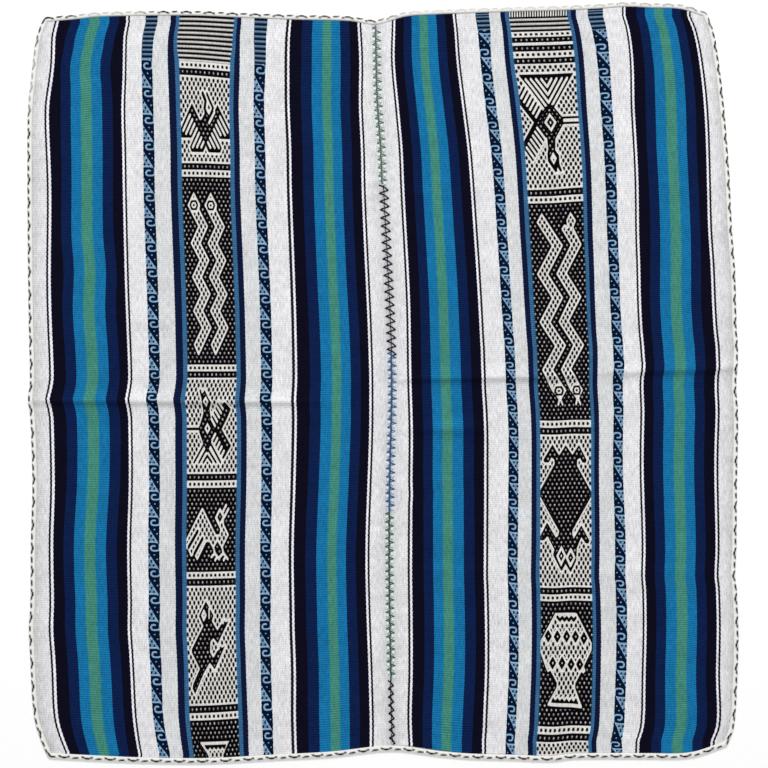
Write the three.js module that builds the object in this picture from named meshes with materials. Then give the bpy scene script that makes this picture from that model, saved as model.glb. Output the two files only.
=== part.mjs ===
// A mesa cloth: a nearly square Andean carrying and altar cloth, laid out flat.
// Two panels, each woven on its own loom, lie side by side with their selvedges butted along
// a middle seam, and one narrow tubular band is woven round the whole edge.
// The cloth has been kept folded, so low creases still cross it.
// Millimetres, +X to the right and +Y up the cloth as it is looked at, +Z up off the table.
// The origin is on the table, under the middle of the cloth.

import * as THREE from "three";

// Driving sizes of the cloth and of its edge band.
const CLOTH_THICKNESS = 2.0;
const BAND_WIDTH = 5.0;
const BAND_HEIGHT = 3.4;
const BAND_CHAMFER = 1.0;
const PIECE_GAP = 0.3;

// How finely each sheet and each corner of the band is divided.
const COLUMNS = 14;
const ROWS_EACH_SIDE = 14;
const HALF_LENGTH = 370;
const CORNER_STEPS = 3;

// The outer selvedge of the left panel, from the bottom corner to the top one.
const LEFT_EDGE = [
  { y: -370.2, x: -331.5 },
  { y: -352.8, x: -338.5 },
  { y: -337.8, x: -343.0 },
  { y: -317.8, x: -345.5 },
  { y: -272.8, x: -347.8 },
  { y: -247.8, x: -349.0 },
  { y: -217.8, x: -347.4 },
  { y: -157.8, x: -347.0 },
  { y: -102.8, x: -345.5 },
  { y: -37.8, x: -347.4 },
  { y: -16.8, x: -349.5 },
  { y: 4.2, x: -348.0 },
  { y: 52.2, x: -349.0 },
  { y: 122.2, x: -350.0 },
  { y: 217.2, x: -350.5 },
  { y: 272.2, x: -350.0 },
  { y: 302.2, x: -347.0 },
  { y: 342.2, x: -342.0 },
  { y: 360.2, x: -335.5 },
];

// The outer selvedge of the right panel, from the bottom corner to the top one.
const RIGHT_EDGE = [
  { y: -358.8, x: 340.5 },
  { y: -342.8, x: 346.0 },
  { y: -307.8, x: 348.7 },
  { y: -253.8, x: 350.3 },
  { y: -207.8, x: 348.7 },
  { y: -192.8, x: 347.0 },
  { y: -167.8, x: 348.2 },
  { y: -97.8, x: 349.0 },
  { y: -32.8, x: 350.0 },
  { y: -2.8, x: 348.2 },
  { y: 32.2, x: 350.0 },
  { y: 52.2, x: 348.7 },
  { y: 112.2, x: 347.0 },
  { y: 152.2, x: 344.0 },
  { y: 212.2, x: 341.0 },
  { y: 281.2, x: 335.4 },
  { y: 332.2, x: 329.0 },
  { y: 353.2, x: 324.7 },
  { y: 366.0, x: 319.5 },
];

// The middle seam, where the inner selvedges meet, from the bottom to the top.
const SEAM = [
  { y: -362.8, x: 9.0 },
  { y: -307.8, x: 7.5 },
  { y: -187.8, x: 5.5 },
  { y: -97.8, x: 6.0 },
  { y: -8.8, x: 8.0 },
  { y: 52.2, x: 6.6 },
  { y: 92.2, x: 4.7 },
  { y: 192.2, x: -0.5 },
  { y: 232.2, x: -2.0 },
  { y: 282.2, x: -5.5 },
  { y: 357.4, x: -7.2 },
];

// The top edge of both panels, from the left corner to the right one.
const TOP_EDGE = [
  { x: -335.5, y: 360.2 },
  { x: -308.0, y: 362.5 },
  { x: -283.0, y: 365.2 },
  { x: -193.0, y: 366.4 },
  { x: -143.0, y: 364.4 },
  { x: -83.0, y: 362.2 },
  { x: -33.0, y: 360.9 },
  { x: -7.2, y: 357.4 },
  { x: 22.0, y: 365.2 },
  { x: 47.0, y: 367.2 },
  { x: 127.0, y: 370.2 },
  { x: 177.0, y: 371.5 },
  { x: 217.0, y: 373.4 },
  { x: 242.0, y: 375.2 },
  { x: 267.0, y: 374.2 },
  { x: 297.0, y: 372.8 },
  { x: 319.5, y: 366.0 },
];

// The bottom edge of both panels, from the left corner to the right one.
const BOTTOM_EDGE = [
  { x: -331.5, y: -370.2 },
  { x: -283.0, y: -372.8 },
  { x: -233.0, y: -374.8 },
  { x: -173.0, y: -375.2 },
  { x: -113.0, y: -372.0 },
  { x: -53.0, y: -368.8 },
  { x: 9.0, y: -362.8 },
  { x: 57.0, y: -368.2 },
  { x: 87.0, y: -370.8 },
  { x: 132.0, y: -372.0 },
  { x: 167.0, y: -373.2 },
  { x: 192.0, y: -370.6 },
  { x: 267.0, y: -370.4 },
  { x: 294.0, y: -370.6 },
  { x: 313.0, y: -368.2 },
  { x: 340.5, y: -358.8 },
];

// Where the main fold crosses each panel. The rows of the sheet's grid follow it.
const LEFT_FOLD = [
  { x: -350, y: -16 },
  { x: 8, y: -17 },
];
const RIGHT_FOLD = [
  { x: 8, y: 6 },
  { x: 200, y: 9 },
  { x: 350, y: 18 },
];

// Creases that stand up off the table, each a soft ridge along a straight line.
// height and halfWidth give its section, fade the length over which each end dies away.
const CREASES = [
  { name: "left fold", from: [-350, -16], to: [-75, -17], height: 2.6, halfWidth: 6, fade: 70 },
  { name: "right fold", from: [20, 6], to: [205, 9], height: 2.6, halfWidth: 6, fade: 30 },
  { name: "right fold, outer", from: [225, 11], to: [350, 18], height: 2.6, halfWidth: 6, fade: 50 },
  { name: "lower right crease", from: [24, -50], to: [100, -50], height: 1.8, halfWidth: 6, fade: 30 },
];
const FLAT_BELOW = 0.05;

// Rows that are added where the main fold and the lower crease run, measured from the fold.
const FOLD_ROWS = [-14, -9, -6, -3, 0, 3, 6, 9, 14];
const LOWER_CREASE_ROWS = [-66, -61, -56, -51, -46];

// A smooth curve through a table's rows: a cubic between neighbours, level beyond the ends.
function smoothCurve(table, along, value) {
  const slopeAt = (i) => {
    const before = table[Math.max(i - 1, 0)];
    const after = table[Math.min(i + 1, table.length - 1)];
    return (after[value] - before[value]) / (after[along] - before[along]);
  };
  return (t) => {
    const last = table.length - 1;
    if (t <= table[0][along]) return table[0][value];
    if (t >= table[last][along]) return table[last][value];
    const i = table.findIndex((row) => row[along] > t) - 1;
    const span = table[i + 1][along] - table[i][along];
    const s = (t - table[i][along]) / span;
    const start = (2 * s ** 3 - 3 * s ** 2 + 1) * table[i][value];
    const end = (3 * s ** 2 - 2 * s ** 3) * table[i + 1][value];
    const leave = (s ** 3 - 2 * s ** 2 + s) * span * slopeAt(i);
    const arrive = (s ** 3 - s ** 2) * span * slopeAt(i + 1);
    return start + end + leave + arrive;
  };
}

const leftEdgeX = smoothCurve(LEFT_EDGE, "y", "x");
const rightEdgeX = smoothCurve(RIGHT_EDGE, "y", "x");
const seamX = smoothCurve(SEAM, "y", "x");
const topEdgeY = smoothCurve(TOP_EDGE, "x", "y");
const bottomEdgeY = smoothCurve(BOTTOM_EDGE, "x", "y");

// How far the underside of the cloth stands off the table: the highest crease at that point.
function lift([x, y]) {
  const heights = CREASES.map(({ from, to, height, halfWidth, fade }) => {
    const length = Math.hypot(to[0] - from[0], to[1] - from[1]);
    const ux = (to[0] - from[0]) / length;
    const uy = (to[1] - from[1]) / length;
    const along = (x - from[0]) * ux + (y - from[1]) * uy;
    const across = (x - from[0]) * uy - (y - from[1]) * ux;
    const rise = THREE.MathUtils.smoothstep(along, -fade / 2, fade / 2);
    const fall = THREE.MathUtils.smoothstep(length - along, -fade / 2, fade / 2);
    return height * rise * fall * Math.exp(-((across / halfWidth) ** 2));
  });
  const highest = Math.max(...heights);
  return highest < FLAT_BELOW ? 0 : highest;
}

// The grid's rows as shares: -1 on the bottom edge, 0 on the main fold, 1 on the top edge.
function rowShares() {
  const added = [...FOLD_ROWS, ...LOWER_CREASE_ROWS].map((offset) => offset / HALF_LENGTH);
  const shares = [...added];
  for (let row = -ROWS_EACH_SIDE; row <= ROWS_EACH_SIDE; row++) {
    const share = row / ROWS_EACH_SIDE;
    const nearest = Math.min(...added.map((other) => Math.abs(other - share)));
    if (nearest > 0.4 / ROWS_EACH_SIDE) shares.push(share);
  }
  return shares.sort((a, b) => a - b);
}

// One panel's plan between its two selvedges, as columns of [x, y] points, left to right.
// A column runs up the cloth at a fixed share of the width.
function panelPlan(leftX, rightX, fold) {
  const foldY = smoothCurve(fold, "x", "y");
  const plan = [];
  for (let column = 0; column <= COLUMNS; column++) {
    const columnX = (y) => THREE.MathUtils.lerp(leftX(y), rightX(y), column / COLUMNS);
    const top = topEdgeY(columnX(HALF_LENGTH));
    const bottom = bottomEdgeY(columnX(-HALF_LENGTH));
    const middle = foldY(columnX(0));
    const heights = rowShares().map((share) =>
      THREE.MathUtils.lerp(middle, share < 0 ? bottom : top, Math.abs(share)));
    plan.push(heights.map((y) => [columnX(y), y]));
  }
  return plan;
}

// A closed geometry from rings of points, each joined to the next by two triangles a step.
// The last ring joins the first one, or else extraTriangles cap the two ends.
function gridGeometry(rings, closesAlong, extraTriangles = []) {
  const around = rings[0].length;
  const positions = rings.flat(2);
  const indices = [];
  const steps = closesAlong ? rings.length : rings.length - 1;
  for (let i = 0; i < steps; i++) {
    for (let j = 0; j < around; j++) {
      const a = i * around + j;
      const b = i * around + ((j + 1) % around);
      const c = ((i + 1) % rings.length) * around + ((j + 1) % around);
      const d = ((i + 1) % rings.length) * around + j;
      indices.push(a, b, c, a, c, d);
    }
  }
  indices.push(...extraTriangles);
  const geometry = new THREE.BufferGeometry();
  geometry.setAttribute("position", new THREE.Float32BufferAttribute(positions, 3));
  geometry.setIndex(indices);
  geometry.computeVertexNormals();
  return geometry;
}

// A panel: its plan lifted over the creases, once for the underside and once for the top.
// Each column is a ring that runs up the underside and back down the top.
function panelGeometry(plan) {
  const rings = plan.map((column) => {
    const under = column.map((point) => [...point, lift(point)]);
    const over = column.map((point) => [...point, lift(point) + CLOTH_THICKNESS]);
    return [...under, ...over.reverse()];
  });
  const around = rings[0].length;
  const last = (rings.length - 1) * around;
  const selvedges = [];
  for (let j = 0; j < around / 2 - 1; j++) {
    const k = around - 1 - j;
    selvedges.push(j, k - 1, j + 1, j, k, k - 1);
    selvedges.push(last + j, last + j + 1, last + k - 1, last + j, last + k - 1, last + k);
  }
  return gridGeometry(rings, false, selvedges);
}

// The cloth's whole outline, clockwise from its bottom left corner, as four runs of points.
function outlineRuns(columns) {
  const left = columns[0];
  const right = columns[columns.length - 1];
  const top = columns.map((column) => column[column.length - 1]);
  const bottom = columns.map((column) => column[0]);
  return [left, top, [...right].reverse(), bottom.reverse()];
}

// Outward directions along a run, each square to the line through its two neighbours.
function outwardAlong(run) {
  return run.map((_, i) => {
    const [x0, y0] = run[Math.max(i - 1, 0)];
    const [x1, y1] = run[Math.min(i + 1, run.length - 1)];
    return new THREE.Vector2(y0 - y1, x1 - x0).normalize();
  });
}

// The band's section: distance out from the cloth's edge and height, flat on the table.
function bandSection() {
  const inner = PIECE_GAP;
  const outer = BAND_WIDTH;
  const top = BAND_HEIGHT;
  const cut = BAND_CHAMFER;
  return [
    [inner + cut, 0],
    [outer - cut, 0],
    [outer, cut],
    [outer, top - cut],
    [outer - cut, top],
    [inner + cut, top],
    [inner, top - cut],
    [inner, cut],
  ];
}

// The edge band: its section carried round the outline, turning about each corner.
function bandGeometry(runs) {
  const stations = [];
  const directions = runs.map(outwardAlong);
  runs.forEach((run, side) => {
    run.forEach((point, i) => stations.push({ point, out: directions[side][i] }));
    const corner = run[run.length - 1];
    const before = directions[side][run.length - 1];
    const after = directions[(side + 1) % runs.length][0];
    for (let step = 1; step < CORNER_STEPS; step++) {
      const out = before.clone().lerp(after, step / CORNER_STEPS).normalize();
      stations.push({ point: corner, out });
    }
  });
  const rings = stations.map(({ point, out }) => bandSection().map(([across, up]) => [
    point[0] + out.x * across,
    point[1] + out.y * across,
    up + lift(point),
  ]));
  return gridGeometry(rings, true);
}

const woolCloth = (name, color) => new THREE.MeshStandardMaterial({
  name,
  color,
  roughness: 0.95,
  metalness: 0,
});

const leftPlan = panelPlan(leftEdgeX, (y) => seamX(y) - PIECE_GAP / 2, LEFT_FOLD);
const rightPlan = panelPlan((y) => seamX(y) + PIECE_GAP / 2, rightEdgeX, RIGHT_FOLD);

const cloth = new THREE.Group();

function addPiece(name, geometry, material) {
  const piece = new THREE.Mesh(geometry, material);
  piece.name = name;
  cloth.add(piece);
}

addPiece("panel_left", panelGeometry(leftPlan), woolCloth("warp-faced panel, left", 0xe6e6e8));
addPiece("panel_right", panelGeometry(rightPlan), woolCloth("warp-faced panel, right", 0xe2e2e6));
addPiece("edge_band", bandGeometry(outlineRuns([...leftPlan, ...rightPlan])), woolCloth("tubular band", 0xf3f2ea));

export default cloth;
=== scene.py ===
# A mesa cloth: a nearly square Andean carrying and altar cloth, laid out flat, seen from above.
# Two warp-faced panels are joined down the middle by coloured stitches, and a tubular band is
# woven round the edge. Lengths in this script are millimetres until a mesh or a light is made.
# +X is to the right, +Y up the cloth along its warps, +Z up off the table.

import math

import bpy
import numpy as np
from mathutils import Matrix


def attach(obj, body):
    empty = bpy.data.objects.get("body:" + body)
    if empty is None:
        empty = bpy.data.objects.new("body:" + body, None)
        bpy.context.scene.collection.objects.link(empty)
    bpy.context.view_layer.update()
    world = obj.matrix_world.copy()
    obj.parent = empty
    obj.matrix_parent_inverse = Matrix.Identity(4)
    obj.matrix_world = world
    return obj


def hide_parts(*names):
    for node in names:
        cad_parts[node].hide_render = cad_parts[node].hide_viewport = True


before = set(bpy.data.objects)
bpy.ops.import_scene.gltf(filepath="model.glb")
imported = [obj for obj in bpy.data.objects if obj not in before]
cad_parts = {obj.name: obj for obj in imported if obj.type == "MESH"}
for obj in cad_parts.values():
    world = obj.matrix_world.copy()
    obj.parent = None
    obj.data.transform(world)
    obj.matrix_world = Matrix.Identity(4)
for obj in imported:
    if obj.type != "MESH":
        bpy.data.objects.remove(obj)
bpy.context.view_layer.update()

MM = 0.001

# The cloth and its band, as the solids have them.
CLOTH_THICKNESS = 2.0
BAND_WIDTH = 5.0
BAND_HEIGHT = 3.4
SEAM_GAP = 0.3

# The outline: each panel's outer selvedge and the seam as (y, x), the two ends as (x, y).
LEFT_EDGE = [
    (-370.2, -331.5), (-352.8, -338.5), (-337.8, -343.0), (-317.8, -345.5), (-272.8, -347.8),
    (-247.8, -349.0), (-217.8, -347.4), (-157.8, -347.0), (-102.8, -345.5), (-37.8, -347.4),
    (-16.8, -349.5), (4.2, -348.0), (52.2, -349.0), (122.2, -350.0), (217.2, -350.5),
    (272.2, -350.0), (302.2, -347.0), (342.2, -342.0), (360.2, -335.5),
]
RIGHT_EDGE = [
    (-358.8, 340.5), (-342.8, 346.0), (-307.8, 348.7), (-253.8, 350.3), (-207.8, 348.7),
    (-192.8, 347.0), (-167.8, 348.2), (-97.8, 349.0), (-32.8, 350.0), (-2.8, 348.2),
    (32.2, 350.0), (52.2, 348.7), (112.2, 347.0), (152.2, 344.0), (212.2, 341.0),
    (281.2, 335.4), (332.2, 329.0), (353.2, 324.7), (366.0, 319.5),
]
SEAM = [
    (-362.8, 9.0), (-307.8, 7.5), (-187.8, 5.5), (-97.8, 6.0), (-8.8, 8.0), (52.2, 6.6),
    (92.2, 4.7), (192.2, -0.5), (232.2, -2.0), (282.2, -5.5), (357.4, -7.2),
]
TOP_EDGE = [
    (-335.5, 360.2), (-308.0, 362.5), (-283.0, 365.2), (-193.0, 366.4), (-143.0, 364.4),
    (-83.0, 362.2), (-33.0, 360.9), (-7.2, 357.4), (22.0, 365.2), (47.0, 367.2),
    (127.0, 370.2), (177.0, 371.5), (217.0, 373.4), (242.0, 375.2), (267.0, 374.2),
    (297.0, 372.8), (319.5, 366.0),
]
BOTTOM_EDGE = [
    (-331.5, -370.2), (-283.0, -372.8), (-233.0, -374.8), (-173.0, -375.2), (-113.0, -372.0),
    (-53.0, -368.8), (9.0, -362.8), (57.0, -368.2), (87.0, -370.8), (132.0, -372.0),
    (167.0, -373.2), (192.0, -370.6), (267.0, -370.4), (294.0, -370.6), (313.0, -368.2),
    (340.5, -358.8),
]

# Creases that stand up off the table: from, to, height, half width, fade at each end.
# The first four are in the solids too. The next four are their sharp crests, and the others are
# faint creases and soft flutes that only the cloth's surface shows.
CREASES = [
    ((-350, -16), (-75, -17), 2.6, 6, 70),
    ((20, 6), (205, 9), 2.6, 6, 30),
    ((225, 11), (350, 18), 2.6, 6, 50),
    ((24, -50), (100, -50), 1.8, 6, 30),
    ((-350, -18), (-75, -19), 4.4, 4.5, 70),
    ((20, 4), (205, 7), 4.2, 4.5, 30),
    ((225, 10), (350, 15), 4.2, 5, 50),
    ((24, -46), (100, -46), 4.0, 7, 30),
    ((12, 188), (97, 186), 0.9, 5, 30),
    ((-83, 160), (-23, 158), 0.9, 5, 20),
    ((17, -187), (327, -189), 0.9, 6, 60),
    ((35, 352), (52, 150), 1.2, 8, 90),
    ((62, 352), (80, 170), 1.2, 8, 90),
    ((-300, 330), (-322, 300), 1.0, 6, 16),
]

# A crease lower than this counts as flat.
FLAT_BELOW = 0.05

# Where the warps step aside at the folds: the height, how far it reaches above and below, the step
# to the right, and the places across the cloth where the step is full and where it is gone.
KINKS = [(-16.5, 22, -2, -345, -20), (18, 17, 1.4, 250, 357), (-112, 14, 0.6, 20, 120)]


def smooth_curve(table, t):
    """A cubic between neighbouring rows of (place, value), level beyond both ends. The slope at
    a row is that of the straight line between the rows on either side of it."""
    place, value = np.array(table, float).T
    last = len(place) - 1
    before = np.maximum(np.arange(last + 1) - 1, 0)
    after = np.minimum(np.arange(last + 1) + 1, last)
    slope = (value[after] - value[before]) / (place[after] - place[before])
    t = np.clip(t, place[0], place[-1])
    i = np.clip(np.searchsorted(place, t, side="right") - 1, 0, last - 1)
    span = place[i + 1] - place[i]
    s = (t - place[i]) / span
    start = (2 * s**3 - 3 * s**2 + 1) * value[i]
    end = (3 * s**2 - 2 * s**3) * value[i + 1]
    leave = (s**3 - 2 * s**2 + s) * span * slope[i]
    arrive = (s**3 - s**2) * span * slope[i + 1]
    return start + end + leave + arrive


def left_x(y):
    """The left selvedge's place across the cloth at a height."""
    return smooth_curve(LEFT_EDGE, y)


def right_x(y):
    """The right selvedge's place."""
    return smooth_curve(RIGHT_EDGE, y)


def seam_x(y):
    """The seam's place."""
    return smooth_curve(SEAM, y)


def smoothstep(x, low, high):
    """0 below low, 1 above high, and 3s^2 - 2s^3 between them."""
    s = np.clip((x - low) / (high - low), 0, 1)
    return s * s * (3 - 2 * s)


def ridge(x, y, start, end, height, half_width, fade):
    """A soft ridge along a straight line: a bell across it, dying away over fade at its ends."""
    length = math.hypot(end[0] - start[0], end[1] - start[1])
    ux = (end[0] - start[0]) / length
    uy = (end[1] - start[1]) / length
    along = (x - start[0]) * ux + (y - start[1]) * uy
    across = (x - start[0]) * uy - (y - start[1]) * ux
    rise = smoothstep(along, -fade / 2, fade / 2)
    fall = smoothstep(length - along, -fade / 2, fade / 2)
    return height * rise * fall * np.exp(-((across / half_width) ** 2))


def lift(x, y):
    """How far the underside stands off the table: the highest crease at each point."""
    highest = np.maximum.reduce([ridge(x, y, *crease) for crease in CREASES])
    return np.where(highest < FLAT_BELOW, 0, highest)


def kinks(x, y):
    """How far warps stand to the right at the folds: a peaked step on each fold's line, fading to
    nothing over its reach, and along the fold from full at one place to nothing at the other. It
    comes up within 45 mm of the first place."""
    total = np.zeros(np.broadcast(x, y).shape)
    for height, reach, step, full, gone in KINKS:
        peak = np.clip(1 - np.abs(y - height) / reach, 0, 1) ** 1.5
        fade = np.clip((gone - x) / (gone - full), 0, 1) * smoothstep(x, full - 40, full + 5)
        total += step * peak * fade
    return total


# Camera: straight above, as in the photograph, whose frame is 768 mm wide at the cloth.
IMAGE_PIXELS = 768
PHOTO_CENTRE_X = 1.0
PHOTO_CENTRE_Y = -1.75
LENS_MM = 85
SENSOR_MM = 36
CAMERA_HEIGHT = IMAGE_PIXELS * LENS_MM / SENSOR_MM


data = bpy.data.cameras.new("camera")
data.lens = LENS_MM
data.sensor_width = SENSOR_MM
data.clip_end = 20
camera = bpy.data.objects.new("camera", data)
camera.location = (PHOTO_CENTRE_X * MM, PHOTO_CENTRE_Y * MM, CAMERA_HEIGHT * MM)
bpy.context.scene.collection.objects.link(camera)
bpy.context.scene.camera = camera


def linear(hex_colour):
    """An sRGB hex colour as linear red, green, blue and alpha."""
    value = hex_colour.lstrip("#")
    srgb = np.array([int(value[i:i + 2], 16) for i in (0, 2, 4)]) / 255
    rgb = np.where(srgb <= 0.04045, srgb / 12.92, ((srgb + 0.055) / 1.055) ** 2.4)
    return (*rgb, 1.0)


# Yarn colours, in sRGB.
YARN = {
    "white": "#e4e4e7",
    # Painted shade: the outer white stripes by the selvedges are a little darker than the inner white, for
    # the shade along the cloth's outer edges.
    "outer white": "#e3e3e5",
    "middle white": "#d8d9db",
    "bright white": "#eeedf4",
    "black": "#1b1a21",
    "near-black": "#0d0c1d",
    "navy": "#0d1f49",
    "blue": "#1770a3",
    "green": "#438777",
    "teal": "#2c7c8e",
    "sky": "#38668f",
    "deep navy": "#0e1838",
    "cream": "#e2dfda",
    "jet": "#070509",
    "pale blue": "#86aacb",
    "scroll dark": "#04142c",
    "tinted cream": "#cddbe9",
    "teal jet": "#0b2733",
}

# Stripes of each panel, left to right where the cloth lies calmest: face yarn, width.
# The scroll and figured bands are two-faced, with the yarn that lies underneath as well.
LEFT_STRIPES = [
    ("outer white", 13.2), ("black", 2.1), ("bright white", 2.5), ("near-black", 10.8),
    ("navy", 10.5), ("blue", 9.8), ("green", 12.4), ("blue", 10.0), ("navy", 10.8),
    ("near-black", 10.1), ("bright white", 2.1), ("black", 2.0), ("white", 17.4),
    ("scroll", 11.4), ("middle white", 16.1), ("deep navy", 6.9), ("sky", 4.2),
    ("figured", 49.3), ("sky", 4.0), ("deep navy", 5.4), ("middle white", 15.1),
    ("scroll", 11.0), ("white", 20.1), ("black", 2.8), ("bright white", 2.1),
    ("near-black", 11.1), ("navy", 10.8), ("blue", 10.2), ("green", 10.3), ("blue", 8.7),
    ("navy", 9.8), ("near-black", 10.0), ("bright white", 2.0), ("black", 2.0),
    ("white", 17.3),
]
RIGHT_STRIPES = [
    ("white", 17.6), ("black", 2.1), ("bright white", 2.0), ("near-black", 10.0),
    ("navy", 9.1), ("blue", 8.6), ("green", 10.6), ("blue", 9.7), ("navy", 10.1),
    ("near-black", 9.9), ("bright white", 2.0), ("black", 2.1), ("white", 18.9),
    ("scroll", 10.1), ("middle white", 12.9), ("deep navy", 5.2), ("sky", 3.9),
    ("figured", 53.6), ("sky", 3.3), ("deep navy", 5.1), ("middle white", 14.9),
    ("scroll", 10.3), ("white", 16.7), ("black", 2.0), ("bright white", 2.0),
    ("near-black", 9.0), ("navy", 10.0), ("blue", 10.1), ("green", 11.8), ("blue", 9.1),
    ("navy", 10.0), ("near-black", 11.0), ("bright white", 2.0), ("black", 2.1),
    ("outer white", 15.3),
]
TWO_FACED = {"scroll": ("pale blue", "scroll dark"), "figured": ("cream", "jet")}
EDGE_YARNS = {"green": ("teal", "teal"), "figured": ("tinted cream", "teal jet")}

# Ten lines of warps that wander as they run up the cloth: which stripe each one begins, and at
# some heights how far it lies to the right of a straight share of the panel's width.
LINES = [1, 12, 13, 14, 15, 20, 21, 22, 23, 34]
LEFT_WANDER = [
    (362, [-5, -6.5, -7, -5.5, -7.5, -1.5, -2.5, 0.5, 1, 1.5]),
    (322, [0, -3, -5, -5, -5, 0.5, 0.5, 1.5, 1, 3.5]),
    (272, [-1, -1, -1, -1, -1, 0.5, 0.5, 0.5, 1.5, 2]),
    (192, [1.5, -0.5, -1, -1, -1, -0.5, -0.5, -0.5, 0.5, 0.5]),
    (92, [0, 0, 0, 0, 0, 0, 0, 0, 0, 0]),
    (7, [1, 1, 0, -0.5, -0.5, -0.5, -1, -0.5, -1, 0]),
    (-68, [0, 0.5, -1, -1.5, -2, 0, -0.5, -0.5, -1.5, 0.5]),
    (-178, [0, 0, -0.5, -0.5, -1, -0.5, -0.5, -0.5, -3, -1.5]),
    (-286, [2.5, 2.5, 1, 1, 0.5, -0.5, -1, -1.5, -2, 0]),
    (-338, [1.5, 2, 1, 0, -1, -1, -2, -2, -4, 0]),
    (-368, [1.5, -1.5, -1.5, -1.5, -4, -5, -5, -5.5, -6.5, -1.5]),
]
RIGHT_WANDER = [
    (362, [-1, -9, -8, -4, -5, 3, 0.5, 6, 9, 2.5]),
    (322, [-3, -8.5, -7, -6, -5, 4, 2.5, 5, 8.5, 4]),
    (272, [-0.5, -5, -4.5, -3.5, -2.5, 3, 2, 3.5, 5, 4]),
    (192, [0, -1.5, -1, -0.5, -0.5, 2.5, 1.5, 2.5, 3.5, 1]),
    (92, [0, 0, 0, 0, 0, 0, 0, 0, 0, 0]),
    (7, [-1.5, 1.5, 2.5, 2.5, 2.5, 1, 1.5, 1.5, 1.5, 2.5]),
    (-68, [1, 5, 6, 6, 6, 2.5, 1.5, 1, 1, 1]),
    (-178, [1.5, 6, 6.5, 6.5, 7, 4.5, 5, 5.5, 4.5, 3.5]),
    (-286, [0.5, 5.5, 6, 5.5, 5.5, 4, 4, 4.5, 3, 2.5]),
    (-338, [-1.5, 3.5, 4, 3.5, 4, 4, 3.5, 4, 3.5, 6]),
    (-368, [-0.5, 3.5, 4.5, 4, 4.5, 4.5, 4.5, 6, 2.5, 5.5]),
]

# Groups of stripes that shift or spread between those lines: the stripes that the rows of weights
# begin at, the weights, and how far to the right the group lies at some heights.
COLOURS = ([3, 4, 9, 10], [0, 1, 1, 0])
INNER_COLOURS = ([25, 26, 31, 32], [0, 1, 1, 0])
BAND_SPREAD = ([15, 17, 18, 20], [0, -1, 1, 0])
LEFT_SHIFTS = [
    (*COLOURS, [(-366, 0), (-328, 1.5), (-248, 1), (-168, -0.5), (-88, 1.5), (-48, 2), (32, 1.2),
                (72, 0.2), (112, 2), (152, -0.5), (272, 1), (295, -1), (308, -3), (321, -3),
                (334, -1), (358, 2)]),
    (*INNER_COLOURS, [(-168, 0.5), (-48, 1.5), (32, 1.5), (112, 0.5), (362, 1)]),
    (*BAND_SPREAD, [(-366, 0), (318, 0), (334, 2), (360, 2.4)]),
]
RIGHT_SHIFTS = [
    (*COLOURS, [(-366, 0), (-288, 1), (-208, 1.2), (-128, 0.6), (-88, 0)]),
    (*INNER_COLOURS, [(-366, 3), (-328, 1), (-208, 1), (-48, 0.5), (72, 0), (112, 1), (152, 2.6),
                      (232, 1.2), (272, 2.2), (308, 2.6), (334, 2.2), (362, 3)]),
    (BAND_SPREAD[0], [0, -1, 0.3, 0], [(-366, 0), (290, 0), (310, 1), (362, 1.6)]),
]

# The figured band of each panel, from the top end down: what a stretch is, how many picks it
# has or, for a field, how many rows of floats, whether its first row starts odd, its length.
LEFT_BAND = [
    ("fine bars", 20, 0, 45.7), ("light bar", 3, 0, 6.6), ("dark bar", 3, 1, 6.9),
    ("light field", 19, 0, 88.1), ("dark bar", 3, 1, 6.6), ("light bar", 3, 0, 6.9),
    ("dark field", 44, 0, 187.7), ("light bar", 3, 0, 6.6), ("dark bar", 3, 1, 6.6),
    ("light field", 22, 1, 95.9), ("dark bar", 3, 1, 6.8), ("light bar", 3, 0, 7.1),
    ("dark field", 19, 1, 84.1), ("light bar", 3, 0, 6.7), ("dark bar", 3, 1, 7.1),
    ("light field", 26, 1, 119.2), ("dark bar", 3, 1, 6.9), ("light bar", 3, 0, 6.7),
    ("dark field", 8, 1, 39.0),
]
RIGHT_BAND = [
    ("warp ends", 4, 0, 5.0), ("fine bars", 7, 0, 15.1), ("light bar", 3, 0, 5.2),
    ("dark bar", 3, 1, 5.4), ("light line", 1, 0, 2.7), ("dark bar", 3, 1, 6.0),
    ("light bar", 3, 0, 6.3), ("dark bar", 3, 1, 6.0), ("light field", 31, 0, 127.0),
    ("dark bar", 3, 1, 6.3), ("light bar", 3, 0, 6.7), ("dark field", 54, 1, 217.7),
    ("light bar", 3, 0, 7.0), ("dark bar", 3, 1, 6.9), ("light field", 36, 0, 153.0),
    ("dark bar", 3, 1, 6.7), ("light bar", 3, 0, 6.7), ("dark field", 28, 1, 125.0),
    ("light bar", 3, 0, 7.7), ("dark bar", 3, 1, 7.4), ("light field", 3, 0, 13.1),
]

# How far the wefts rise to the right about the middle of the figured band: (y, slope).
LEFT_TIP = [(-375, 0), (-330, 0.02), (-197, 0.01), (11, 0.01), (212, 0), (314, -0.045), (366, 0)]
RIGHT_TIP = [(-372, 0), (-350, -0.05), (-212, -0.055), (-46, -0.04), (186, 0.01), (371, 0)]

# How far the wefts lie below their even spacing: (y, drop).
LEFT_DROP = [(-375, 0.5), (-345, 1.5), (-334, 1), (-320, 0), (222, 0), (245, 0.5), (298, 1.5),
             (310, 1), (366, 0)]
RIGHT_DROP = [(-372, 0), (185, 0), (197, -1), (212, -1.5), (262, 0), (300, 1), (322, 1), (371, 0)]

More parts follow.
